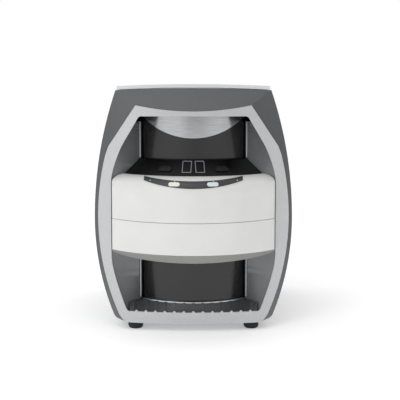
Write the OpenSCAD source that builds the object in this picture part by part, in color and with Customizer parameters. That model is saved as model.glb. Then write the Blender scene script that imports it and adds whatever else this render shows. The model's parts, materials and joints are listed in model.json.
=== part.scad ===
// Desktop scanner for dental imaging plates.
// The origin is on the floor below the drum's axis, +Z is up and the front faces -Y.

/* [Enclosure] */
// Width of the enclosure at its widest
body_w = 377; // [350:1:400]
// Height of the top edge of the side covers at the middle
body_h = 459; // [430:1:480]
// Depth from the front housing to the rear panel
body_d = 425; // [400:1:460]
// Height at which the sides are widest
waist_z = 210; // [180:1:240]
// Radius of the sides above the waist
upper_side_r = 749; // [650:1:900]
// Radius of the sides below the waist
lower_side_r = 503; // [450:1:650]
// Wall of the moulded covers
wall = 2.5; // [1.5:0.1:4]
// Height of a rubber foot
foot_h = 14; // [8:1:20]
// Diameter of a rubber foot
foot_d = 29; // [20:1:36]
// Thickness of the top cover
top_t = 7.5; // [5:0.5:12]

/* [Front bezel] */
// Radius of the bezel's front in plan
bezel_r = 592; // [450:1:900]
// Distance of the bezel's middle in front of the drum's axis
bezel_front = 158.5; // [154:0.5:165]
// Thickness of the bezel
bezel_t = 4; // [2.5:0.5:6]
// Height of the bezel's lower inner edge
sill_z = 36.5; // [30:0.5:45]
// Height of the bezel's upper inner edge
lintel_z = 406.5; // [395:0.5:415]

/* [Drum and entry] */
// Radius of the drum
drum_r = 140; // [130:1:145]
// Wall of the drum
drum_wall = 3; // [2:0.5:5]
// Gap that a plate slides in between the drum and the entry guide
slot_gap = 5.2; // [4.6:0.1:6]
// Radius at which the entry guide meets the front housing
guide_r = 182; // [175:1:190]
// Height of the front housing's top
housing_top = 297.5; // [285:0.5:310]

/* [Front housing] */
// Radius of the front housing
housing_r = 212.5; // [205:0.5:220]
// Width of the front housing
housing_w = 307; // [290:1:308]
// Height of the seam between the two covers
seam_z = 214.5; // [190:0.5:230]
// Height of the front housing's lowest point
housing_bottom = 138; // [130:1:145]
// Wall of the white covers
cover_wall = 3; // [2:0.5:4]

/* [Belts and rollers] */
// Number of belt tracks
tracks = 4; // [4:1:4]
// Angle between two tracks
track_step = 24; // [22:1:26]
// Radius of a roller
roller_r = 9; // [7:0.5:10]
// Width of a belt
belt_w = 22; // [16:1:24]
// Thickness of a belt
belt_t = 1.5; // [1:0.1:2]
// Height of the drive rollers
drive_z = 266; // [255:1:268]
// Height of the idler rollers
idler_z = 162; // [155:1:175]
// Radius of the roller shafts
shaft_r = 3; // [2:0.5:4]
// Radial clearance of shafts in their bores
running_gap = 0.05; // [0.01:0.01:0.1]

/* [Controls] */
// Length of an oval button
button_l = 21; // [16:1:26]
// Width of an oval button
button_w = 8.5; // [6:0.5:10]
// Travel of a button
button_travel = 0.8; // [0.5:0.1:1.2]
// Distance of a button's middle from the centre line
button_x = 35; // [28:1:42]

/* [Hidden] */
gap = 0.4;
front_y = -122;
rear_y = body_d - housing_r;
rear_t = 3;
edge_r = 18;
crown = 4;
top_edge_z = body_h - crown;
floor_z = foot_h;
half_w = body_w / 2;
bezel_cy = bezel_r - bezel_front;
top_z = body_h + top_t;
roller_c = drum_r + 1.6 + belt_t + roller_r;
shoulder_r = housing_r - guide_r;
shoulder_z = housing_top - shoulder_r;
cheek_in = [104.4, -110];
strip_in = [99.8, -102.6];
button_a = 36;
button_turn = asin(button_x / (guide_r + shoulder_r * cos(button_a)));

// Points of an arc in a plane.
function arc(c, r, a0, a1, n = 12) = [for (i = [0:n]) c + r * [cos(a0 + (a1 - a0) * i / n), sin(a0 +
  (a1 - a0) * i / n)]];
function flip(p) = [for (i = [len(p) - 1:-1:0]) [-p[i][0], p[i][1]]];
// The upper side arc's end and the lower one's start, for an outline set in by t.
function top_a(t) = asin((top_edge_z - t - waist_z) / (upper_side_r - t));
function low_a() = asin((waist_z - floor_z - edge_r) / (lower_side_r - edge_r));
function low_c() = [half_w - lower_side_r, waist_z];
// Right half of the enclosure's outline in X and Z, from the bottom to the top, set in by t.
function half_outline(t = 0) =
  let (cc = low_c() + (lower_side_r - edge_r) * [cos(low_a()), -sin(low_a())],
       cu = [half_w - upper_side_r, waist_z],
       xt = cu[0] + (upper_side_r - t) * cos(top_a(t)))
  concat([[0, floor_z + t]], arc(cc, edge_r - t, -90, -low_a(), 8), arc(low_c(), lower_side_r - t,
    -low_a() + 1, 0, 14),
    arc(cu, upper_side_r - t, 1, top_a(t), 14),
    [for (i = [1:8]) [xt * (1 - i / 8), top_edge_z - t + crown * (1 - pow(1 - i / 8, 2))]]);
function outline(t = 0) = let (h = half_outline(t)) concat(h, [for (i = [len(h) - 2:-1:1]) [-h[i][0],
  h[i][1]]]);
top_half = half_w - upper_side_r + upper_side_r * cos(top_a(0)) - 5.3;
// Front of the bezel in plan, set back by t.
function bezel_y(x, t = 0) = bezel_cy - sqrt(pow(bezel_r - t, 2) - x * x);
// Half width of the bezel's outer and inner edges at a height.
function outer_x(z) = z < 214 ? 181.2 - 449 + sqrt(449 * 449 - pow(z - 214, 2))
  : z < 347 ? 181.2 - 480 + sqrt(480 * 480 - pow(z - 214, 2)) : 162 - (z - 347) * 54 / 80;
function inner_x(z) = z < 137 ? 155.5 - 30 * pow((137 - z) / 101, 1.35)
  : z < 284 ? 155.5 : z < 353 ? 155.5 - 22 * pow((z - 284) / 69, 1.5) : 133.4 - (z - 353) * 0.6;
function ridge_z(x) = 415.5 + 11.4 * pow(x / 108, 2);
bezel_outer = concat([[0, floor_z + 0.6], [131, floor_z + 0.6]], [for (z = [30:16:427]) [outer_x(z), z]],
  [for (x = [108:-12:0]) [x, ridge_z(x)]]);
bezel_inner = concat([[0, sill_z], [inner_x(sill_z + 4) - 4, sill_z]],
  [for (z = [sill_z + 4:14:393]) [inner_x(z), z]],
  [[103, 404], [99, lintel_z], [0, lintel_z]]);

module along_y(y0, y1) translate([0, y1, 0]) rotate([90, 0, 0]) linear_extrude(y1 - y0) children();
module both_halves(half) polygon(concat(half, [for (i = [len(half) - 1:-1:0]) [-half[i][0],
  half[i][1]]]));
module tube(r0, r1, z0, z1, fn = 200) difference() {
  translate([0, 0, z0]) cylinder(r = r1, h = z1 - z0, $fn = fn);
  translate([0, 0, z0 - 1]) cylinder(r = r0, h = z1 - z0 + 2, $fn = fn);
}
// A solid swept through rings of the same number of points.
module sweep(rings) {
  k = len(rings[0]);
  n = len(rings);
  polyhedron(points = [for (r = rings) each r], faces = concat([[for (j = [0:k - 1]) j]],
    [[for (j = [k - 1:-1:0]) (n - 1) * k + j]],
    [for (i = [0:n - 2], j = [0:k - 1]) let (a = i * k + j, b = i * k + (j + 1) % k) each [[a, a + k,
      b], [b, a + k, b + k]]]));
}
module at_track(i) rotate([0, 0, (i - (tracks + 1) / 2) * track_step]) children();
module shell_outline() difference() {
  polygon(outline());
  polygon(outline(wall));
}

// Enclosure
module base_pan() color("#6d7072") {
  along_y(front_y + 1, rear_y - rear_t - gap) translate([-129.6, floor_z]) square([259.2, wall]);
  for (s = [-1, 1]) along_y(front_y + 1, rear_y - rear_t - gap) translate([s * 128.3 - 1.3,
    floor_z]) square([2.6, 14]);
  // Floor under the recess
  translate([0, 0, floor_z]) linear_extrude(wall)
    polygon(concat([for (x = [-126:14:126]) [x, bezel_y(x, bezel_t + 0.6)]], [[126, front_y + 2],
      [-126, front_y + 2]]));
}
module feet() color("#1c1c1e") for (x = [-111, 111], y = [-125, 170]) translate([x, y, 0]) {
  cylinder(d1 = foot_d * 0.86, d2 = foot_d, h = 5, $fn = 48);
  translate([0, 0, 5]) cylinder(d = foot_d, h = foot_h - 5, $fn = 48);
}
module side_cover(s) along_y(front_y + 0.2, rear_y - rear_t - 0.2) intersection() {
  shell_outline();
  translate([s * 230, 230]) square([200, 500], center = true);
}
module side_cover_left() color("#5c5f63") side_cover(-1);
module side_cover_right() color("#5c5f63") side_cover(1);
module top_cover() color("#d9dadb") difference() {
  along_y(front_y, rear_y) both_halves(concat([for (i = [0:8]) [top_half * i / 8,
    body_h + 0.3 - 3.72 * pow(i / 8, 2)]],
    arc([top_half, body_h - crown + top_t / 2 + 0.4], top_t / 2, -80, 80, 8),
    [for (i = [8:-1:0]) [top_half * i / 8, top_z - 3.4 * pow(i / 8, 2)]]));
  along_y(front_y + 3, rear_y - 3) translate([14 - top_half, body_h - 8]) square([2 * top_half - 28,
    8 + top_t - 4]);
}
module rear_panel() color("#8c8f92") difference() {
  along_y(rear_y - rear_t, rear_y) polygon(outline(0.3));
  along_y(rear_y - 10, rear_y + 5) {
    for (r = [14, 22, 30]) translate([60, 340]) difference() {
      circle(r = r + 2.4, $fn = 60);
      circle(r = r - 2.4, $fn = 60);
      for (a = [0, 90]) rotate(a) square([5, 90], center = true);
    }
    translate([-110, 70]) square([28.5, 21], center = true);
    translate([-70, 70]) square([19.8, 13.6], center = true);
    translate([0, 70]) square([13, 12], center = true);
    for (i = [0:6]) translate([-70, 300 + 12 * i]) square([70, 4], center = true);
    for (p = screw_places) translate(p) circle(d = 4.2, $fn = 32);
  }
}
function fascia_ring(s, b, si, bi) = [[b[0], bezel_y(b[0], bezel_t + 0.3), b[1]], [s[0], front_y, s[1]],
  [si[0], front_y, si[1]], [bi[0], bezel_y(bi[0], bezel_t + 0.3) + wall, bi[1]]];
// Point of the bezel's outer edge that a point of the enclosure's outline joins: sides by height, brow by width.
function mate(p, brow, xt) = brow ? [p[0] * 108 / xt, ridge_z(p[0] * 108 / xt)]
  : p[1] < 30 ? [131 + (outer_x(30) - 131) * (p[1] - floor_z) / (30 - floor_z), floor_z + 0.6 +
    (p[1] - floor_z) * 0.96]
  : [outer_x(mate_z(p[1])) - 0.2, mate_z(p[1])];
function mate_z(z) = z < 214 ? z : 214 + (z - 214) * (427 - 214) / (top_edge_z - 214);
module front_fascia() color("#606468") {
  hs = half_outline();
  hi = half_outline(wall);
  n = len(hs);
  half = [for (i = [1:n - 1]) let (b = mate(hs[i], i > n - 9, hs[n - 9][0]))
    fascia_ring(hs[i], b, hi[i], b - wall * [b[0] / 180, (b[1] - 214) / 214])];
  sweep(concat(half, [for (i = [len(half) - 2:-1:0]) [for (p = half[i]) [-p[0], p[1], p[2]]]]));
}
module front_bezel() color("#c3c5c6") intersection() {
  along_y(-175, -90) difference() {
    both_halves(bezel_outer);
    difference() {
      both_halves(bezel_inner);
      for (i = [-6:6]) translate([18 * i, sill_z]) circle(d = 5.6, $fn = 24);
    }
  }
  translate([0, bezel_cy, 0]) tube(bezel_r - bezel_t, bezel_r, 0, 440, 256);
}
// A cheek runs from the bezel's inner edge back to the drum, with a short return strip at the drum.
cheek_z = concat([34], [for (z = [sill_z + 2:7:393]) z], [396]);
module cheek(s) sweep([for (z = cheek_z)
  let (x = max(inner_x(max(z, sill_z)), 105.6), y = bezel_y(x, bezel_t + 0.3),
       ring = [[x, y], cheek_in, strip_in, strip_in + [2, 2], cheek_in + [2.2, 2.4], [x, y + 2.4]])
  [for (p = s > 0 ? [for (i = [5:-1:0]) ring[i]] : ring) [s * p[0], p[1], z]]]);
module cheek_left() color("#6a6d71") cheek(-1);
module cheek_right() color("#6a6d71") cheek(1);
module header_plate() color("#3a3b3d") translate([0, 0, lintel_z + 1]) linear_extrude(2.5)
  polygon(concat([for (x = [-104:13:104]) [x, bezel_y(x, bezel_t + 1.2)]], [[110, -128], [136, -114],
    [140, 38], [-140, 38],
    [-136, -114], [-110, -128]]));
module bulkhead() color("#8a8d90") along_y(40, 42.5) difference() {
  polygon(outline(wall + 0.6));
  translate([-200, 0]) square([400, floor_z + 15]);
  translate([-60, 225]) square([120, 60]);
  translate([60, 160]) square([30, 20]);
}
module drum_slit(z, h, a) translate([0, 0, z]) rotate([0, 0, -90 - a]) rotate_extrude(angle = 2 * a,
  $fn = 200)
  translate([drum_r - 10, 0]) square([20, h]);
module drum_shell() color("#262628") difference() {
  tube(drum_r - drum_wall, drum_r, 50, lintel_z + 0.5);
  translate([-200, 28, 0]) cube([400, 200, 500]);
  drum_slit(203, 4, 48);
  drum_slit(176, 8, 48);
}
cowl_k = 1.0375;
cowl_z = 364.6;
module drum_cowl() color("#b9bbbd") difference() {
  tube(drum_r + 0.3, drum_r + 1.3, 340, lintel_z + 0.5);
  translate([-200, -102.2, 300]) cube([400, 300, 200]);
  translate([0, -drum_r - 1.3, cowl_z]) rotate([atan(cowl_k), 0, 0]) translate([-200, -100,
    -200]) cube([400, 300, 200]);
}
module drum_foot_ring() color("#d4d5d6") difference() {
  tube(drum_r + 0.3, drum_r + 6, 50, 53.4);
  translate([-200, -107, 0]) cube([400, 300, 100]);
}

// Tray that catches the plates; it lifts out upwards.
tray_top = 51;
function tray_front(x) = bezel_y(x, bezel_t + 1.1);
function tray_back(x) = min(abs(x) < 99 ? -sqrt(pow(drum_r + 7.6, 2) - x * x) : -108.6,
  cheek_in[1] - 2.1 - max(0, abs(x) - cheek_in[0] + 1.5) * 1.12);
module collection_tray() color("#4a4c4e") {
  sweep([for (i = [15:-1:-15]) let (x = 8.13 * i, yf = tray_front(x), yb = tray_back(x)) [[x, yf,
    sill_z - 16],
    [x, yf, sill_z - 1], [x, yb, tray_top], [x, yb, tray_top - 2.6], [x, yf + 2.5, sill_z - 4], [x,
      yf + 2.5, sill_z - 16]]]);
  for (i = [-6:6]) sweep([for (w = [1, -1])
    let (xf = 18 * i + w * 1.2, xb = 18 * i + w * 3, yf = tray_front(xf) + 0.4, yb = tray_back(xb) - 0.6)
    [[xf, yf, sill_z - 1.7], [xf, yf, sill_z - 0.7], [xb, yb, tray_top + 0.8], [xb, yb,
      tray_top - 0.9]]]);
}

// Plate entry
module front_area(set = 0) linear_extrude(500) polygon([[-98.3, -101.4], [-cheek_in[0] - 0.2,
  cheek_in[1] - 1.2], [-housing_w / 2 + set, -136 - set / 2],
  [-housing_w / 2 + set, -143 - set / 2], [-housing_w / 2 + 8 + set, -160], [-housing_w / 2 + 8 + set,
    -240],
  [housing_w / 2 - 8 - set, -240], [housing_w / 2 - 8 - set, -160], [housing_w / 2 - set, -143 - set / 2],
  [housing_w / 2 - set, -136 - set / 2], [cheek_in[0] + 0.2, cheek_in[1] - 1.2], [98.3, -101.4]]);
guide_top = 325;
guide_in = drum_r + slot_gap;
guide_slope = atan((guide_top - housing_top) / (guide_r - guide_in - 5.5));
module entry_guide() color("#161618") intersection() {
  rotate_extrude($fn = 200) polygon([[guide_in, 286], [guide_in, guide_top - 4], [guide_in + 3,
    guide_top], [guide_in + 5.5, guide_top],
    [guide_r - gap, housing_top], [guide_r - gap, 286], [guide_r - 3, 286], [guide_r - 3,
      housing_top - 2.5], [guide_in + 6, guide_top - 4],
    [guide_in + 3, guide_top - 5], [guide_in + 3, 286]]);
  front_area(0.5);
}
// Places children on the guide's slope, at an angle and a radius, with Z out of the slope.
module on_slope(a, r) rotate([0, 0, a]) 
  translate([0, -r, housing_top + (guide_r - gap - r) * tan(guide_slope)])
  rotate([guide_slope, 0, 0]) children();
module entry_tabs() color("#3e3f41") for (s = [-1, 1]) on_slope(s * 18, 169.4) translate([0, 0, 0.4])
  intersection() {
    oval(25, 14, 2.2);
    translate([-14, -5.4, -1]) cube([28, 20, 8]);
  }
module entry_frames() color("#9a9b9d") for (x = [-12, 12]) on_slope(x / 164.3 * 57.3, 164.3)
  translate([0, 0, 0.3]) linear_extrude(1.4) difference() {
    square([17.6, 30], center = true);
    square([14.6, 27], center = true);
  }

// White front covers
top_corner = 16;
low_corner = 18;
housing_low = housing_bottom + 1;
chin_depth = 17;
housing_high = housing_top + 0.5;
module housing_profile(t) rotate_extrude($fn = 200) polygon(concat([[100, seam_z - 200],
  [housing_r - t, seam_z - 200]],
  arc([guide_r, shoulder_z], shoulder_r - t, 0, 90, 16), [[100, housing_top - t]]));
// Below the front face the housing rounds over into a chin that slopes back.
module chin_profile(t) rotate_extrude($fn = 200) polygon(concat([[100, housing_bottom + t],
  [housing_r - chin_depth - t * 0.6, housing_bottom + t]],
  arc([housing_r - 9, housing_bottom + 22], 9 - t, -48, 0, 8), [[housing_r - t, 400], [100, 400]]));
// Front view of the housing: a rectangle with rounded corners, set in by t.
function corner(z, r, t, a) = arc([housing_w / 2 - r, z], r - t, a, a + 90, 10);
module housing_front(t) along_y(-240, -90) both_halves(concat([[0, housing_bottom - 20]],
  [[housing_w / 2 - low_corner, housing_bottom - 20]],
  corner(housing_low + low_corner, low_corner, t, -90), corner(housing_high - top_corner, top_corner,
    t, 0), [[0, housing_high - t]]));
module housing_solid(t) difference() {
  intersection() {
    housing_profile(t);
    chin_profile(t);
    front_area(t);
    housing_front(t);
  }
  translate([0, -housing_r + chin_depth, housing_bottom + t]) rotate([atan(0.19), 0, 0]) translate([-200, -100,
    -60]) cube([400, 300, 60]);
}
module front_shell(z0, z1, back_r) difference() {
  intersection() {
    difference() {
      housing_solid(0);
      housing_solid(cover_wall);
    }
    translate([-200, -230, z0]) cube([400, 230, z1 - z0]);
  }
  translate([0, 0, z0 - 1]) cylinder(r = back_r, h = z1 - z0 + 2, $fn = 200);
  for (s = [-1, 1]) translate([s * 127, -118,
    z0 - 1]) linear_extrude(z1 - z0 + 2) rotate(s * 25) square([60, 20], center = true);
}
module upper_front_cover() color("#e3e3e1") difference() {
  front_shell(seam_z + 0.4, housing_top + 1, guide_r);
  for (s = [-1, 1]) button_place(s) translate([0, 0, -8]) oval(button_l + 0.8, button_w + 0.8, 16);
}
module lower_front_cover() color("#e3e3e1") front_shell(housing_bottom - 1, seam_z - 0.4, 168);

// Controls
panel_low = 277.8;
panel_high = 290.6;
module oval(l, w, h) {
  for (s = [-1, 1]) translate([s * (l - w) / 2, 0, 0]) cylinder(d = w, h = h, $fn = 40);
  translate([-(l - w) / 2, -w / 2, 0]) cube([l - w, w, h]);
}
// Places children on the shoulder, at an angle round the drum and one up the shoulder, with Z outwards.
module on_shoulder(turn, a) rotate([0, 0, turn]) translate([0, -guide_r - shoulder_r * cos(a),
  shoulder_z + shoulder_r * sin(a)])
  rotate([90 - a, 0, 0]) children();
module button_place(s) on_shoulder(s * button_turn, button_a) children();
module control_panel() color("#48494c") difference() {
  intersection() {
    rotate_extrude($fn = 200) translate([guide_r, shoulder_z]) difference() {
      circle(r = shoulder_r + 0.8, $fn = 120);
      circle(r = shoulder_r + 0.1, $fn = 120);
    }
    along_y(-230, -150) intersection() {
      translate([0, panel_low + 330]) circle(r = 330, $fn = 250);
      translate([-91, 200]) square([182, panel_high + 20 - 200]);
      difference() {
        translate([-91, 200]) square([182, 200]);
        translate([0, panel_high + 650]) circle(r = 650, $fn = 250);
      }
    }
  }
  for (s = [-1, 1]) button_place(s) translate([0, 0, -3]) oval(button_l + 0.8, button_w + 0.8, 8);
  for (p = light_places) on_shoulder(p[0], p[1]) translate([0, 0, -2]) cylinder(d = 2.4, h = 5, $fn = 32);
}
light_places = [[-23, 49.6], [-9.6, 47.6], [10.3, 47.6], [23.4, 49.6]];
module indicator_lights() color("#39d37a") for (p = light_places)
  on_shoulder(p[0], p[1]) translate([0, 0, 0.15]) cylinder(d = 2, h = 1, $fn = 32);
module button(s) color("#e8e6df") button_place(s) {
  translate([0, 0, -cover_wall - 1]) oval(button_l, button_w, cover_wall + 2.6);
  translate([0, 0, -cover_wall - 2.4]) oval(button_l + 3, button_w + 3, 1.2);
}
module left_button() button(-1);
module right_button() button(1);
module button_board() color("#2c6b45") on_shoulder(0, button_a) translate([-46, -9, -15]) cube([92, 18,
  1.6]);

// Transport
frame_a = 44;
module transport_frame() color("#7c7f82") {
  difference() {
    tube(roller_c + 14, roller_c + 17, idler_z - 8.5, drive_z + 14);
    rotate([0, 0, frame_a]) translate([0, -200, 0]) cube([400, 400, 500]);
    rotate([0, 0, -frame_a]) translate([-400, -200, 0]) cube([400, 400, 500]);
    translate([-200, 0, 0]) cube([400, 400, 500]);
    at_track(3) translate([17, -roller_c - 22, drive_z - 38]) cube([12, 20, 44]);
    at_track(3) translate([13, -roller_c - 22, drive_z - 38]) cube([5, 20, 28]);
  }
  for (i = [1:tracks], z = [idler_z, drive_z], s = [-1, 1]) at_track(i) difference() {
    translate([s * 15 - 1.5, -roller_c - 15, z - 6]) cube([3, 20, 12]);
    translate([s * 15 - 3, -roller_c, z]) rotate([0, 90, 0]) cylinder(r = shaft_r + running_gap, h = 6,
      $fn = 48);
  }
}
module belt(i) color("#2b2b2d") at_track(i) translate([-belt_w / 2, -roller_c, 0]) rotate([90, 0,
  90]) linear_extrude(belt_w) difference() {
  belt_loop(roller_r + running_gap + belt_t);
  belt_loop(roller_r + running_gap);
}
module belt_loop(r) {
  translate([0, drive_z]) circle(r = r, $fn = 64);
  translate([0, idler_z]) circle(r = r, $fn = 64);
  translate([-r, idler_z]) square([2 * r, drive_z - idler_z]);
}
module roller(i, z, l0 = 18, l1 = 18) color("#b5b7ba") at_track(i) translate([0, -roller_c,
  z]) rotate([0, 90, 0]) {
  translate([0, 0, -belt_w / 2 - 1]) cylinder(r = roller_r, h = belt_w + 2, $fn = 64);
  translate([0, 0, -l0]) cylinder(r = shaft_r, h = l0 + l1, $fn = 48);
}
module belt_1() belt(1);
module belt_2() belt(2);
module belt_3() belt(3);
module belt_4() belt(4);
module drive_roller_1() roller(1, drive_z);
module drive_roller_2() roller(2, drive_z);
module drive_roller_3() roller(3, drive_z, 18, 26);
module drive_roller_4() roller(4, drive_z);
module idler_roller_1() roller(1, idler_z);
module idler_roller_2() roller(2, idler_z);
module idler_roller_3() roller(3, idler_z);
module idler_roller_4() roller(4, idler_z);
// Gear train in the plane beside track 3: y and z of each gear's axis, from the drive roller out to the motor.
teeth = [19, 32, 16];
mesh_gap = 0.25;
gear_at = [[-roller_c, drive_z], [-roller_c, drive_z] + (25.5 + mesh_gap) * [cos(226), sin(226)],
  [-roller_c, drive_z] + (25.5 + mesh_gap) * [cos(226), sin(226)] + (24 + mesh_gap) * [cos(204),
    sin(204)]];
// Angle of one tooth on each gear, so that the meshes line up at rest.
idler_phase = 46 + 180 / 32;
gear_phase = [226, idler_phase, 24 + 180 / 16 - (204 - idler_phase) * 32 / 16];
module gear(n, bore) linear_extrude(5) difference() {
  union() {
    circle(r = n / 2 - 1.15, $fn = 96);
    for (i = [0:n - 1]) rotate(360 / n * i) polygon([[n / 2 - 1.6, -0.95], [n / 2, -0.68],
      [n / 2 + 0.85, -0.32],
      [n / 2 + 0.85, 0.32], [n / 2, 0.68], [n / 2 - 1.6, 0.95]]);
  }
  circle(r = bore, $fn = 48);
}
module gear_place(i) at_track(3) translate([20, gear_at[i][0], gear_at[i][1]]) rotate([90, 0,
  90]) rotate(gear_phase[i]) children();
module drive_gear() color("#d8d4c4") gear_place(0) gear(teeth[0], shaft_r);
module idler_gear() color("#d8d4c4") gear_place(1) {
  gear(teeth[1], 3 + running_gap);
}
module motor_pinion() color("#c9a94f") gear_place(2) {
  gear(teeth[2], 1.9);
  translate([0, 0, -8]) cylinder(r = 2, h = 12, $fn = 40);
}
module transport_motor() color("#55585b") {
  difference() {
    at_track(3) translate([-26, gear_at[2][0], gear_at[2][1]]) rotate([0, 90, 0]) cylinder(r = 13,
      h = 44, $fn = 64);
    at_track(3) translate([5, gear_at[2][0], gear_at[2][1]]) rotate([0, 90,
      0]) cylinder(r = 2 + running_gap, h = 20, $fn = 40);
  }
  // Bracket with the idler gear's stud
  at_track(3) translate([-4, -roller_c - 27.6, drive_z - 56]) cube([18, 9.4, 24]);
  at_track(3) translate([16, gear_at[1][0], gear_at[1][1]]) rotate([0, 90, 0]) cylinder(r = 3, h = 11,
    $fn = 48);
  at_track(3) translate([14, gear_at[1][0] - 10, gear_at[1][1] - 12]) cube([2.5, 16, 18]);
}

// Optics
module optics_plate() color("#8f9295") difference() {
  translate([0, 0, 150]) cylinder(r = 130, h = 4, $fn = 160);
  translate([-200, 39.8, 0]) cube([400, 200, 300]);
  translate([0, 0, 140]) cylinder(r = 9, h = 30, $fn = 48);
}
module rotor_motor() color("#55585b") difference() {
  translate([0, 0, 154]) cylinder(r = 24, h = 32, $fn = 80);
  translate([0, 0, 150]) cylinder(r = 5 + running_gap, h = 60, $fn = 60);
}
module scan_rotor() color("#cfd1d3") difference() {
  union() {
    translate([0, 0, 158]) cylinder(r = 5, h = 32, $fn = 60);
    translate([0, 0, 189]) cylinder(r = 27, h = 9, $fn = 96);
    translate([-9, -9, 198]) cube([18, 18, 16]);
  }
  translate([0, 0, 150]) cylinder(r = 2.5, h = 58, $fn = 40);
  translate([-20, -9, 214]) rotate([45, 0, 0]) cube([40, 20, 20]);
}
module laser_module() color("#2f3133") {
  translate([-20, -20, 96]) cube([40, 40, 53.6]);
  for (i = [0:4]) translate([-24, -20, 100 + 9 * i]) cube([48, 40, 3]);
}
module light_collector() color("#dfe6ea") difference() {
  translate([0, 0, 222]) cylinder(r1 = 38, r2 = 26, h = 30, $fn = 120);
  translate([0, 0, 221.9]) cylinder(r1 = 35, r2 = 23, h = 30.2, $fn = 120);
}
module photomultiplier() color("#3b3d40") {
  translate([0, 0, 252.4]) cylinder(r = 30, h = 78, $fn = 80);
  translate([-16, 20, 300]) cube([32, 19.8, 10]);
}
module erase_lamp() color("#a33a32") difference() {
  tube(drum_r - 12, drum_r - 5, 172, 186);
  rotate([0, 0, 46]) translate([0, -200, 0]) cube([400, 400, 500]);
  rotate([0, 0, -46]) translate([-400, -200, 0]) cube([400, 400, 500]);
  translate([-200, 0, 0]) cube([400, 400, 500]);
}

// Electronics
module main_board() color("#2c6b45") {
  translate([-90, 52, 300]) cube([150, 1.6, 110]);
  for (x = [-75, -40, 0, 30]) translate([x, 53.6, 330 + x / 5]) cube([22, 3, 22]);
  for (x = [-80, 50], z = [306, 404]) translate([x, 42.9, z]) rotate([-90, 0, 0]) cylinder(d = 6,
    h = 9.1, $fn = 32);
}
module power_supply() color("#9b9ea1") translate([10, 60, floor_z + wall + 0.4]) cube([100, 130, 40]);
inlet_x = -110;
rocker_x = -70;
socket_z = 70;
// Inlet socket and the switch's housing, which share one flange behind the rear panel
module power_inlet() color("#1a1a1c") difference() {
  union() {
    translate([inlet_x - 14, rear_y - 22, socket_z - 10.2]) cube([28, 21.5, 20.4]);
    translate([rocker_x - 9.6, rear_y - 20, socket_z - 6.7]) cube([19.2, 19.5, 13.4]);
    translate([inlet_x - 20, rear_y - rear_t - 2.6, socket_z - 13]) cube([75, 2.5, 26]);
  }
  translate([inlet_x - 11.5, rear_y - 17, socket_z - 7.6]) cube([23, 20, 15.2]);
  translate([rocker_x - 8.8, rear_y - 14, socket_z - 6.5]) cube([17.6, 20, 13]);
  translate([rocker_x - 9.6, rear_y - 6.3, socket_z]) rotate([0, 90, 0]) cylinder(d = 3.1, h = 19.2,
    $fn = 48);
}
module power_rocker() color("#26262a") translate([rocker_x, rear_y - 6.3, socket_z]) {
  translate([-8.5, 0, 0]) rotate([90, 0, 90]) linear_extrude(17)
    polygon([[-4, 0], [1, 6], [5.2, 5.3], [3.6, 0], [5.2, -5.3], [1, -6]]);
  translate([-9.3, 0, 0]) rotate([0, 90, 0]) cylinder(d = 3, h = 18.6, $fn = 48);
}
module data_port() color("#b7babc") difference() {
  translate([-6.2, rear_y - 18, 64.3]) cube([12.4, 17.6, 11.4]);
  translate([-4.4, rear_y - 12, 66]) cube([8.8, 14, 8]);
}
fan_c = [60, 340];
module fan_frame() color("#222325") translate([0, rear_y - rear_t - 0.4, 0]) rotate([90, 0, 0]) {
  difference() {
    translate([fan_c[0] - 40, fan_c[1] - 40, 0]) cube([80, 80, 25]);
    translate([fan_c[0], fan_c[1], -1]) cylinder(r = 38, h = 30, $fn = 96);
  }
  difference() {
    union() {
      translate([fan_c[0], fan_c[1], 20]) cylinder(r = 15, h = 5, $fn = 48);
      for (a = [45:90:315]) translate([fan_c[0], fan_c[1], 21]) rotate(a) translate([12, -2,
        0]) cube([27, 4, 4]);
    }
    translate([fan_c[0], fan_c[1], 10]) cylinder(r = 2 + running_gap, h = 30, $fn = 40);
  }
}
module fan_impeller() color("#2e2f31") translate([0, rear_y - rear_t - 0.4, 0]) rotate([90, 0,
  0]) translate([fan_c[0], fan_c[1], 0]) {
  translate([0, 0, 3]) cylinder(r = 15, h = 16, $fn = 64);
  translate([0, 0, 18]) cylinder(r = 2, h = 6, $fn = 40);
  for (a = [0:7]) rotate(a * 45) translate([24, 0, 11]) rotate([35, 0, 0]) cube([22, 1.6, 14],
    center = true);
}
screw_places = [for (s = [-1, 1], p = [[135, 420], [160, 300], [160, 160], [140, 40]]) [s * p[0], p[1]]];
module rear_screws() color("#b9bcbf") for (p = screw_places) translate([p[0], rear_y - rear_t - 6, p[1]])
  rotate([-90, 0, 0]) cylinder(d = 4, h = 6 + rear_t, $fn = 32);

base_pan();
feet();
side_cover_left();
side_cover_right();
top_cover();
rear_panel();
front_fascia();
front_bezel();
cheek_left();
cheek_right();
header_plate();
bulkhead();
drum_shell();
drum_cowl();
drum_foot_ring();
collection_tray();
entry_guide();
entry_tabs();
entry_frames();
upper_front_cover();
lower_front_cover();
control_panel();
left_button();
right_button();
indicator_lights();
button_board();
transport_frame();
belt_1();
belt_2();
belt_3();
belt_4();
drive_roller_1();
drive_roller_2();
drive_roller_3();
drive_roller_4();
idler_roller_1();
idler_roller_2();
idler_roller_3();
idler_roller_4();
transport_motor();
motor_pinion();
idler_gear();
drive_gear();
optics_plate();
rotor_motor();
scan_rotor();
laser_module();
light_collector();
photomultiplier();
erase_lamp();
main_board();
power_supply();
power_inlet();
power_rocker();
data_port();
fan_frame();
fan_impeller();
rear_screws();
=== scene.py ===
"""Desktop dental imaging-plate scanner: finished surfaces, trim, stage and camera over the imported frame."""

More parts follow.
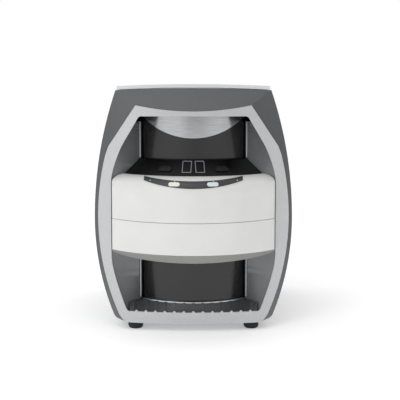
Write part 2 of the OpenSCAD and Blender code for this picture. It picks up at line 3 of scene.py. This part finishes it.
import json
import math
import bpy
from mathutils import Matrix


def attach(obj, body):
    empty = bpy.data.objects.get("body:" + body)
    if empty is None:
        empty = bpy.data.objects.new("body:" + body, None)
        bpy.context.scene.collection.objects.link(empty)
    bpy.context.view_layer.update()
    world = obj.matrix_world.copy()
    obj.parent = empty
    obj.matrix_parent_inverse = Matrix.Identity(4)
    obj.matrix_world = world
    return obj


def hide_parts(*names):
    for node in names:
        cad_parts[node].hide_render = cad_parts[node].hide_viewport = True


bl_info = {
    "name": "Imaging Plate Scanner",
    "version": (1, 0, 0),
    "blender": (4, 5, 0),
    "location": "3D View > Sidebar > Scanner",
    "description": "Builds the finished surfaces of a desktop dental imaging-plate scanner",
    "category": "Object",
}

import bmesh
import bpy
from bpy.props import FloatProperty, PointerProperty, StringProperty
from mathutils import Vector

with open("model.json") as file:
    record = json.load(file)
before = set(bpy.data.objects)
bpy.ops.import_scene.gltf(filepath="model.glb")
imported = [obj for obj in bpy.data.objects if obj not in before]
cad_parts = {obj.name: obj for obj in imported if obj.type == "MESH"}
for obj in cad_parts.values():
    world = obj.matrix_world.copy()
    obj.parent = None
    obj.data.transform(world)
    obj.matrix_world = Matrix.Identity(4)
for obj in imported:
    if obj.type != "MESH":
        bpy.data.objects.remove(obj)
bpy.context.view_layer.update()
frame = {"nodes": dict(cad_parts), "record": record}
MM = 0.001
WELD = 2e-6
FLAT_DEGREES = 0.6
# Faces of the lower cover that look further down than this get the grey chin colour, which is painted shade of the
# downward-facing underside
PAINTED_SHADE_NORMAL_Z = -0.5
# Pale strips: half widths from and to, depth from and to, and the heights they span below and above the housing
STRIP_X = (0.1012, 0.1028)
STRIP_Y = (-0.1096, -0.1084)
STRIP_Z = ((0.056, 0.136), (0.327, 0.394))
# Mains inlet: its middle in mm, each pin's offset in mm, and the depth from and to that a pin fills
INLET_MM = (-110, 70)
PINS_MM = ((-7, -2.2), (0, 2.2), (7, -2.2))
PIN_Y = (0.1957, 0.2085)
TRIM_EDGE = 0.2 * MM
BODY_OF = {node: body for body, nodes in frame["record"]["behaviour"]["bodies"].items() for node in nodes}


# ---------------------------------------------------------------- sizes and colours


class ScannerSizes(bpy.types.PropertyGroup):
    """Edge radii and trim sizes that the finish adds to the frame."""

    cover_edge: FloatProperty(name="Cover edge", description="Radius on the moulded covers' edges", default=1.8 * MM,
                              min=0, subtype="DISTANCE", unit="LENGTH")
    bezel_edge: FloatProperty(name="Bezel edge", description="Radius on the bezel's edges", default=1.9 * MM,
                              min=0, subtype="DISTANCE", unit="LENGTH")
    sheet_edge: FloatProperty(name="Sheet edge", description="Radius on sheet metal and small trim", default=0.35 * MM,
                              min=0, subtype="DISTANCE", unit="LENGTH")
    eye_height: FloatProperty(name="Eye height", description="Camera height above the floor", default=0.459,
                              subtype="DISTANCE", unit="LENGTH")
    eye_distance: FloatProperty(name="Eye distance", description="Camera distance in front of the drum's axis",
                                default=1.7585, subtype="DISTANCE", unit="LENGTH")


class ScannerColours(bpy.types.PropertyGroup):
    """Finish colours as sRGB hex values."""

    housing: StringProperty(name="Housing", description="White moulded front covers", default="#E0E0DE")
    lid: StringProperty(name="Top cover", description="Pale top cover", default="#DBDCDC")
    case: StringProperty(name="Case", description="Dark metallic paint of the case", default="#5E6062")
    bezel: StringProperty(name="Bezel", description="Silver metallic paint of the bezel", default="#C2C3C4")
    cheek: StringProperty(name="Cheek", description="Dark metallic paint of the recess", default="#7C7D7F")
    drum: StringProperty(name="Drum", description="Black drum", default="#1E1E20")
    cowl: StringProperty(name="Cowl", description="Satin aluminium of the cowl", default="#B9BBBD")


def sizes():
    return bpy.context.scene.scanner_sizes


def colours():
    return bpy.context.scene.scanner_colours


# ---------------------------------------------------------------- material helpers


def linear(hex_value):
    """sRGB hex to linear RGBA."""
    channels = [int(hex_value[i:i + 2], 16) / 255 for i in (1, 3, 5)]
    return tuple(c / 12.92 if c <= 0.04045 else ((c + 0.055) / 1.055) ** 2.4 for c in channels) + (1.0,)


def add(tree, kind, links=None, **settings):
    """Adds one node; settings are its properties or sockets, links are {socket: output of another node}."""
    node = tree.nodes.new(kind)
    for key, value in settings.items():
        if hasattr(node, key):
            setattr(node, key, value)
        else:
            node.inputs[key.replace("_", " ")].default_value = value
    for socket, output in (links or {}).items():
        tree.links.new(output, node.inputs[socket])
    return node


def start(name, hex_value, **settings):
    """An empty material with its shader; returns the material, its tree and the shader."""
    material = bpy.data.materials.new(name)
    material.use_nodes = True
    tree = material.node_tree
    tree.nodes.clear()
    shader = add(tree, "ShaderNodeBsdfPrincipled", **settings)
    shader.inputs["Base Color"].default_value = linear(hex_value)
    add(tree, "ShaderNodeOutputMaterial", {"Surface": shader.outputs[0]})
    material.diffuse_color = linear(hex_value)
    return material, tree, shader


def place(tree, stretch=(1, 1, 1)):
    """Object coordinates, stretched along the axes."""
    where = add(tree, "ShaderNodeTexCoord")
    return add(tree, "ShaderNodeMapping", {"Vector": where.outputs["Object"]}, Scale=stretch)


def grain(tree, shader, size_mm, depth_mm, strength, stretch=(1, 1, 1), detail=4.0):
    """Fine bumps of a given size on the shader."""
    noise = add(tree, "ShaderNodeTexNoise", {"Vector": place(tree, stretch).outputs[0]}, Scale=1 / (size_mm * MM),
                Detail=detail)
    bump = add(tree, "ShaderNodeBump", {"Height": noise.outputs["Fac"]}, Strength=strength, Distance=depth_mm * MM)
    tree.links.new(bump.outputs[0], shader.inputs["Normal"])


def tint(tree, shader, hex_low, hex_high, size_mm, stretch=(1, 1, 1), low=0.3, high=0.7, detail=3.0):
    """Colour that wanders between two near shades."""
    noise = add(tree, "ShaderNodeTexNoise", {"Vector": place(tree, stretch).outputs[0]}, Scale=1 / (size_mm * MM),
                Detail=detail)
    ramp = add(tree, "ShaderNodeValToRGB", {"Fac": noise.outputs["Fac"]})
    for element, at, value in zip(ramp.color_ramp.elements, (low, high), (hex_low, hex_high)):
        element.position = at
        element.color = linear(value)
    tree.links.new(ramp.outputs["Color"], shader.inputs["Base Color"])


def wander(tree, shader, low, high, size_mm, stretch=(1, 1, 1)):
    """Roughness that wanders between two values, as handling leaves it."""
    noise = add(tree, "ShaderNodeTexNoise", {"Vector": place(tree, stretch).outputs[0]}, Scale=1 / (size_mm * MM))
    span = add(tree, "ShaderNodeMapRange", {"Value": noise.outputs["Fac"]}, From_Min=0.3, From_Max=0.7, To_Min=low,
               To_Max=high)
    tree.links.new(span.outputs["Result"], shader.inputs["Roughness"])


def shade(hex_value, factor):
    """The same colour, lighter or darker."""
    return "#" + "".join(f"{max(0, min(255, round(int(hex_value[i:i + 2], 16) * factor))):02X}" for i in (1, 3, 5))


# ---------------------------------------------------------------- finishes


def moulded_abs(name, hex_value, roughness=0.34, spark_mm=0.9, specular=0.5):
    """Injection-moulded ABS with a fine spark texture: soft broad highlights, faint grain, no flake."""
    material, tree, shader = start(name, hex_value, Roughness=roughness, IOR=1.54,
                                   Specular_IOR_Level=specular)
    grain(tree, shader, spark_mm, 0.05, 0.12)
    tint(tree, shader, shade(hex_value, 0.985), shade(hex_value, 1.01), 60)
    wander(tree, shader, roughness - 0.04, roughness + 0.06, 25)
    return material


def flake_paint(name, hex_value, metallic=0.55, roughness=0.4, spread=0.10):
    """Metallic paint under lacquer. Its flake is about 0.05 mm across, drawn at 0.9 mm so that it shows."""
    material, tree, shader = start(name, hex_value, Metallic=metallic, Roughness=roughness, Coat_Weight=0.15,
                                   Coat_Roughness=0.25)
    tint(tree, shader, shade(hex_value, 1 - spread), shade(hex_value, 1 + spread), 0.9, detail=2.0)
    grain(tree, shader, 1.1, 0.03, 0.15)
    wander(tree, shader, roughness - 0.03, roughness + 0.05, 30)
    return material


def brushed_aluminium(name, hex_value, stretch, roughness=0.17):
    """Aluminium sheet brushed one way: long fine lines about 0.4 mm apart, and a highlight smeared across them."""
    material, tree, shader = start(name, hex_value, Metallic=0.9, Roughness=roughness)
    tint(tree, shader, shade(hex_value, 0.93), shade(hex_value, 1.05), 1.2, stretch)
    grain(tree, shader, 0.8, 0.01, 0.1, stretch)
    return material


def satin_drum(name, hex_value):
    """Black anodised aluminium drum, turned and then satin finished: dark with a soft vertical sheen."""
    material, tree, shader = start(name, hex_value, Metallic=0.35, Roughness=0.26, Coat_Weight=0.4,
                                   Coat_Roughness=0.15)
    grain(tree, shader, 1.2, 0.003, 0.03, (0.2, 0.2, 1.0))
    wander(tree, shader, 0.24, 0.28, 40)
    return material


def soft_rubber(name, hex_value):
    """Moulded nitrile rubber: nearly black, matte, faint bloom."""
    material, tree, shader = start(name, hex_value, Roughness=0.75, IOR=1.52)
    grain(tree, shader, 0.7, 0.08, 0.35)
    tint(tree, shader, shade(hex_value, 0.85), shade(hex_value, 1.3), 6)
    return material


def plain_metal(name, hex_value, roughness=0.38):
    """Zinc-plated or ground steel: grey metal with faint clouding."""
    material, tree, shader = start(name, hex_value, Metallic=0.9, Roughness=roughness)
    tint(tree, shader, shade(hex_value, 0.9), shade(hex_value, 1.08), 12)
    grain(tree, shader, 1.4, 0.04, 0.2)
    wander(tree, shader, roughness - 0.06, roughness + 0.1, 15)
    return material


def lens(name, hex_value, glow):
    """Clear tinted acrylic over a small lamp."""
    material, tree, shader = start(name, hex_value, Roughness=0.15, IOR=1.49, Emission_Strength=glow)
    shader.inputs["Emission Color"].default_value = linear(hex_value)
    wander(tree, shader, 0.1, 0.22, 2)
    return material


def circuit_board(name, hex_value):
    """Green lacquered glass-epoxy board: copper areas show as slightly paler patches through the lacquer."""
    material, tree, shader = start(name, hex_value, Roughness=0.35, IOR=1.5, Coat_Weight=0.4, Coat_Roughness=0.15)
    tint(tree, shader, shade(hex_value, 0.8), shade(hex_value, 1.35), 5, low=0.45, high=0.55)
    grain(tree, shader, 2.5, 0.05, 0.2)
    return material


FINISH = {}


def finish(name):
    """The finish of that name, made once."""
    if name not in FINISH:
        c = colours()
        FINISH[name] = {
            "housing": lambda: moulded_abs("white_abs", c.housing, 0.36),
            # Grey for the chin's downward faces: painted shade, not a grey moulding
            "chin": lambda: moulded_abs("painted_shade_chin_abs", "#8C8C8B", 0.4),
            "lid": lambda: flake_paint("pale_grey_paint", c.lid, 0.1, 0.42, 0.03),
            "case": lambda: flake_paint("graphite_flake_paint", c.case, 0.45, 0.42, 0.10),
            "bezel": lambda: flake_paint("silver_flake_paint", c.bezel, 0.5, 0.38, 0.07),
            "cheek": lambda: flake_paint("grey_flake_paint", c.cheek, 0.45, 0.4, 0.08),
            "drum": lambda: satin_drum("black_anodised_drum", c.drum),
            "cowl": lambda: brushed_aluminium("brushed_cowl_aluminium", c.cowl, (0.06, 0.06, 1.0)),
            "lip": lambda: brushed_aluminium("bright_ring_aluminium", "#D8D9DA", (0.2, 0.2, 1.0), 0.3),
            "guide": lambda: moulded_abs("black_moulded_abs", "#050506", 0.3, 0.9, 0.25),
            "tab": lambda: moulded_abs("grey_moulded_abs", "#17181A", 0.35, 0.9, 0.3),
            "outline": lambda: moulded_abs("pale_line_abs", "#85868A", 0.4),
            "tray": lambda: moulded_abs("charcoal_moulded_abs", "#47494B", 0.5, 1.2),
            "panel": lambda: moulded_abs("control_panel_film", "#36373A", 0.36, 1.3),
            "button": lambda: moulded_abs("button_abs", "#E6E4DC", 0.3),
            "button_cool": lambda: moulded_abs("cool_button_abs", "#DDE4EA", 0.3),
            "lamp": lambda: lens("green_lamp_acrylic", "#35D07A", 0.8),
            "rubber": lambda: soft_rubber("black_nitrile_rubber", "#19191B"),
            "belt": lambda: soft_rubber("belt_rubber", "#242426"),
            "sheet": lambda: plain_metal("zinc_sheet_steel", "#A3A6A9"),
            "rear": lambda: flake_paint("rear_powder_coat", "#7D8083", 0.1, 0.6, 0.05),
            "steel": lambda: plain_metal("ground_steel", "#B9BCBF", 0.28),
            "acetal": lambda: moulded_abs("natural_acetal", "#DAD6C8", 0.4),
            "brass": lambda: plain_metal("turned_brass", "#C6A452", 0.3),
            "motor": lambda: plain_metal("black_motor_can", "#4A4C50", 0.4),
            "acrylic": lambda: moulded_abs("clear_acrylic", "#D5DFE5", 0.12),
            "red": lambda: lens("red_lamp_acrylic", "#8E2A22", 0.1),
            "board": lambda: circuit_board("green_board", "#1F5E3A"),
            "black": lambda: moulded_abs("black_socket_plastic", "#1B1B1D", 0.5),
            "liner": lambda: moulded_abs("dark_liner", "#2B2C2E", 0.5),
        }[name]()
    return FINISH[name]


# ---------------------------------------------------------------- pieces from the frame


def round_edges(piece, width, segments=2):
    """Rounds a piece's sharp edges, and returns the modifier that does it."""
    bevel = piece.modifiers.new("edge", "BEVEL")
    bevel.width = width
    bevel.segments = segments
    bevel.limit_method = "ANGLE"
    bevel.harden_normals = True
    return bevel


def rounded(node, edge, finish_name, sharp=28, segments=3):
    """A finished piece from a frame node: welded, its flats joined, its sharp edges rounded, shaded smooth."""
    bm = bmesh.new()
    bm.from_mesh(frame["nodes"][node].data)
    bmesh.ops.remove_doubles(bm, verts=bm.verts, dist=WELD)
    bmesh.ops.dissolve_limit(bm, angle_limit=math.radians(FLAT_DEGREES), verts=bm.verts, edges=bm.edges)
    piece = keep(bm, f"{node}_finish", finish_name)
    bevel = round_edges(piece, edge, segments)
    bevel.angle_limit = math.radians(sharp)
    bevel.use_clamp_overlap = True
    piece.data.set_sharp_from_angle(angle=math.radians(sharp))
    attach(piece, BODY_OF[node])
    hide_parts(node)
    return piece


def keep(bm, name, finish_name):
    """Turns a bmesh into a smooth-shaded object with its finish."""
    mesh = bpy.data.meshes.new(name)
    bm.to_mesh(mesh)
    bm.free()
    for polygon in mesh.polygons:
        polygon.use_smooth = True
    piece = bpy.data.objects.new(name, mesh)
    bpy.context.scene.collection.objects.link(piece)
    mesh.materials.append(finish(finish_name))
    return piece


def coat(finish_name, *nodes):
    """Gives frame nodes a finish, in place."""
    for node in nodes:
        mesh = frame["nodes"][node].data
        mesh.materials.clear()
        mesh.materials.append(finish(finish_name))


# ---------------------------------------------------------------- pieces


class SCANNER_OT_enclosure(bpy.types.Operator):
    """Side covers, top cover, fascia, rear panel, base pan and feet"""

    bl_idname = "scanner.enclosure"
    bl_label = "Enclosure"

    def execute(self, context):
        s = sizes()
        rounded("side_cover_left", s.sheet_edge, "case", 40, 2)
        rounded("side_cover_right", s.sheet_edge, "case", 40, 2)
        rounded("top_cover", s.cover_edge, "lid", 40)
        rounded("front_fascia", s.cover_edge * 0.6, "case", 16)
        rounded("feet", s.cover_edge, "rubber", 40)
        rounded("rear_panel", s.sheet_edge, "rear", 40, 2)
        coat("sheet", "base_pan", "bulkhead")
        return {"FINISHED"}


class SCANNER_OT_bezel(bpy.types.Operator):
    """Silver bezel with its nubs"""

    bl_idname = "scanner.bezel"
    bl_label = "Bezel"

    def execute(self, context):
        rounded("front_bezel", sizes().bezel_edge, "bezel", 30)
        return {"FINISHED"}


def bar(bm, low, high):
    """A box between two corners, added to a bmesh."""
    made = bmesh.ops.create_cube(bm, size=1)["verts"]
    low, high = Vector(low), Vector(high)
    bmesh.ops.scale(bm, verts=made, vec=high - low)
    bmesh.ops.translate(bm, verts=made, vec=(low + high) / 2)


def fixed_trim(bm, name, finish_name):
    """A small added piece on the chassis."""
    piece = keep(bm, name, finish_name)
    round_edges(piece, TRIM_EDGE)
    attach(piece, "chassis")


class SCANNER_OT_recess(bpy.types.Operator):
    """Cheeks with their pale edge strips, header, drum, cowl and foot ring"""

    bl_idname = "scanner.recess"
    bl_label = "Recess"

    def execute(self, context):
        s = sizes()
        rounded("cheek_left", s.sheet_edge, "cheek", 30)
        rounded("cheek_right", s.sheet_edge, "cheek", 30)
        rounded("drum_cowl", s.sheet_edge, "cowl", 40, 2)
        rounded("drum_foot_ring", s.sheet_edge * 1.5, "lip", 40)
        coat("drum", "drum_shell")
        coat("liner", "header_plate")
        # Pale strips down the inner edges of the cheeks, above and below the front housing
        bm = bmesh.new()
        for side in (-1, 1):
            ends = sorted(side * x for x in STRIP_X)
            for z0, z1 in STRIP_Z:
                bar(bm, (ends[0], STRIP_Y[0], z0), (ends[1], STRIP_Y[1], z1))
        fixed_trim(bm, "cheek_edge_strips", "bezel")
        return {"FINISHED"}


class SCANNER_OT_entry(bpy.types.Operator):
    """Plate entry guide with its tabs and frames"""

    bl_idname = "scanner.entry"
    bl_label = "Plate entry"

    def execute(self, context):
        s = sizes()
        rounded("entry_guide", s.cover_edge * 0.6, "guide", 30)
        rounded("entry_tabs", s.cover_edge * 0.6, "tab", 40)
        rounded("entry_frames", s.sheet_edge, "outline", 40, 2)
        return {"FINISHED"}


class SCANNER_OT_housing(bpy.types.Operator):
    """White upper and lower front covers, with the chin's downward faces painted grey as shade"""

    bl_idname = "scanner.housing"
    bl_label = "Front housing"

    def execute(self, context):
        s = sizes()
        rounded("upper_front_cover", s.cover_edge, "housing", 30)
        lower = rounded("lower_front_cover", s.cover_edge, "housing", 30)
        # Painted shade: faces of the chin under the white front that look down and forward are coloured grey for the
        # shade they fall in
        lower.data.materials.append(finish("chin"))
        for polygon in lower.data.polygons:
            if polygon.normal.z < PAINTED_SHADE_NORMAL_Z:
                polygon.material_index = 1
        return {"FINISHED"}


class SCANNER_OT_controls(bpy.types.Operator):
    """Control panel, buttons and lights"""

    bl_idname = "scanner.controls"
    bl_label = "Controls"

    def execute(self, context):
        s = sizes()
        rounded("control_panel", s.sheet_edge, "panel", 40, 2)
        rounded("left_button", s.cover_edge * 0.5, "button", 40)
        rounded("right_button", s.cover_edge * 0.5, "button_cool", 40)
        coat("lamp", "indicator_lights")
        coat("board", "button_board")
        return {"FINISHED"}


class SCANNER_OT_tray(bpy.types.Operator):
    """Ribbed tray that catches the plates"""

    bl_idname = "scanner.tray"
    bl_label = "Collection tray"

    def execute(self, context):
        rounded("collection_tray", sizes().sheet_edge * 1.5, "tray", 30)
        return {"FINISHED"}


class SCANNER_OT_inside(bpy.types.Operator):
    """Finishes of the transport, the optics, the electronics and the rear sockets, and the inlet's pins"""

    bl_idname = "scanner.inside"
    bl_label = "Inside"

    def execute(self, context):
        tracks = range(1, 5)
        coat("belt", *[f"belt_{i}" for i in tracks])
        coat("steel", *[f"{kind}_roller_{i}" for i in tracks for kind in ("drive", "idler")], "data_port")
        coat("sheet", "transport_frame", "optics_plate", "power_supply")
        coat("acetal", "idler_gear", "drive_gear")
        coat("brass", "motor_pinion")
        coat("motor", "transport_motor", "rotor_motor", "laser_module", "photomultiplier")
        coat("lip", "scan_rotor")
        coat("acrylic", "light_collector")
        coat("red", "erase_lamp")
        coat("board", "main_board")
        coat("black", "power_inlet", "power_rocker", "fan_frame", "fan_impeller")
        coat("steel", "rear_screws")
        # Three flat pins of the mains inlet, which stop short of its mouth
        bm = bmesh.new()
        for across, up in PINS_MM:
            x, z = (INLET_MM[0] + across) * MM, (INLET_MM[1] + up) * MM
            bar(bm, (x - MM, PIN_Y[0], z - 2 * MM), (x + MM, PIN_Y[1], z + 2 * MM))
        fixed_trim(bm, "inlet_pins", "steel")
        return {"FINISHED"}


# ---------------------------------------------------------------- stage


def softbox(name, at, aim, size, watts):
    """A rectangular soft light that faces a point."""
    lamp = bpy.data.lights.new(name, "AREA")
    lamp.shape = "RECTANGLE"
    lamp.size, lamp.size_y = size
    lamp.energy = watts
    box = bpy.data.objects.new(name, lamp)
    box.location = at
    box.rotation_euler = (Vector(aim) - Vector(at)).to_track_quat("-Z", "Y").to_euler()
    bpy.context.scene.collection.objects.link(box)


# Brightness of the room around the front, from the left wall past the viewer to the right wall
ROOM = ((0.0, 0.40), (0.14, 0.90), (0.3, 0.95), (0.44, 0.26), (0.6, 0.16), (0.72, 0.60), (0.86, 0.70), (1.0, 0.16))


def studio_world():
    """White behind the object; in front, two bright walls with a dark opening between them."""
    world = bpy.data.worlds.new("studio")
    world.use_nodes = True
    tree = world.node_tree
    tree.nodes.clear()
    way = add(tree, "ShaderNodeTexCoord")
    axes = add(tree, "ShaderNodeSeparateXYZ", {"Vector": way.outputs["Generated"]})
    across = add(tree, "ShaderNodeMapRange", {"Value": axes.outputs["X"]}, From_Min=-1, From_Max=1)
    walls = add(tree, "ShaderNodeValToRGB", {"Fac": across.outputs["Result"]})
    ramp = walls.color_ramp
    while len(ramp.elements) < len(ROOM):
        ramp.elements.new(0.5)
    for element, (at, level) in zip(ramp.elements, ROOM):
        element.position = at
        element.color = (level, level, level, 1)
    behind = add(tree, "ShaderNodeMapRange", {"Value": axes.outputs["Y"]}, From_Min=-0.25, From_Max=0.2)
    mixed = add(tree, "ShaderNodeMixRGB", {"Fac": behind.outputs["Result"], "Color1": walls.outputs["Color"]},
                Color2=(1, 1, 1, 1))
    light = add(tree, "ShaderNodeBackground", {"Color": mixed.outputs[0]}, Strength=1.0)
    add(tree, "ShaderNodeOutputWorld", {"Surface": light.outputs[0]})
    return world


class SCANNER_OT_stage(bpy.types.Operator):
    """Pale floor, soft lights and the camera"""

    bl_idname = "scanner.stage"
    bl_label = "Stage"

    def execute(self, context):
        scene = context.scene
        bm = bmesh.new()
        bmesh.ops.create_grid(bm, x_segments=2, y_segments=2, size=12)
        floor = keep(bm, "floor", "lid")
        material, tree, shader = start("pale_floor", "#F6F6F6", Roughness=0.9, Emission_Strength=0.3)
        shader.inputs["Emission Color"].default_value = linear("#FFFFFF")
        grain(tree, shader, 30, 0.05, 0.05)
        floor.data.materials[0] = material
        scene.world = studio_world()
        softbox("key", (-1.5, -2.2, 1.5), (0, 0, 0.25), (0.9, 1.4), 9)
        softbox("overhead", (-0.25, -1.2, 2.2), (0, -0.1, 0.3), (1.6, 1.0), 8)
        lens_data = bpy.data.cameras.new("camera")
        # Long lens at lid height; a small downward tilt and a small shift share the framing.
        lens_data.lens = 77.8
        lens_data.sensor_width = 36
        lens_data.shift_x = 0.0165
        lens_data.shift_y = -0.091
        lens_data.clip_end = 50
        camera = bpy.data.objects.new("camera", lens_data)
        camera.location = (0, -sizes().eye_distance, sizes().eye_height)
        camera.rotation_euler = (math.radians(90 - 5), 0, 0)
        scene.collection.objects.link(camera)
        scene.camera = camera
        scene.view_settings.view_transform = "Standard"
        return {"FINISHED"}


# ---------------------------------------------------------------- panel and registration


class SCANNER_PT_pieces(bpy.types.Panel):
    """Lists the scanner's steps"""

    bl_idname = "SCANNER_PT_pieces"
    bl_label = "Imaging Plate Scanner"
    bl_space_type = "VIEW_3D"
    bl_region_type = "UI"
    bl_category = "Scanner"

    def draw(self, context):
        for step in STEPS:
            self.layout.operator(step.bl_idname)
        for group in (context.scene.scanner_sizes, context.scene.scanner_colours):
            for key in group.__annotations__:
                self.layout.prop(group, key)


STEPS = (SCANNER_OT_stage, SCANNER_OT_enclosure, SCANNER_OT_bezel, SCANNER_OT_recess, SCANNER_OT_entry,
         SCANNER_OT_housing, SCANNER_OT_controls, SCANNER_OT_tray, SCANNER_OT_inside)
CLASSES = (ScannerSizes, ScannerColours, *STEPS, SCANNER_PT_pieces)


def register():
    for cls in CLASSES:
        bpy.utils.register_class(cls)
    bpy.types.Scene.scanner_sizes = PointerProperty(type=ScannerSizes)
    bpy.types.Scene.scanner_colours = PointerProperty(type=ScannerColours)


def unregister():
    del bpy.types.Scene.scanner_colours
    del bpy.types.Scene.scanner_sizes
    for cls in reversed(CLASSES):
        bpy.utils.unregister_class(cls)


def main():
    register()
    for step in STEPS:
        group, call = step.bl_idname.split(".")
        getattr(getattr(bpy.ops, group), call)()


if __name__ == "__main__":
    main()
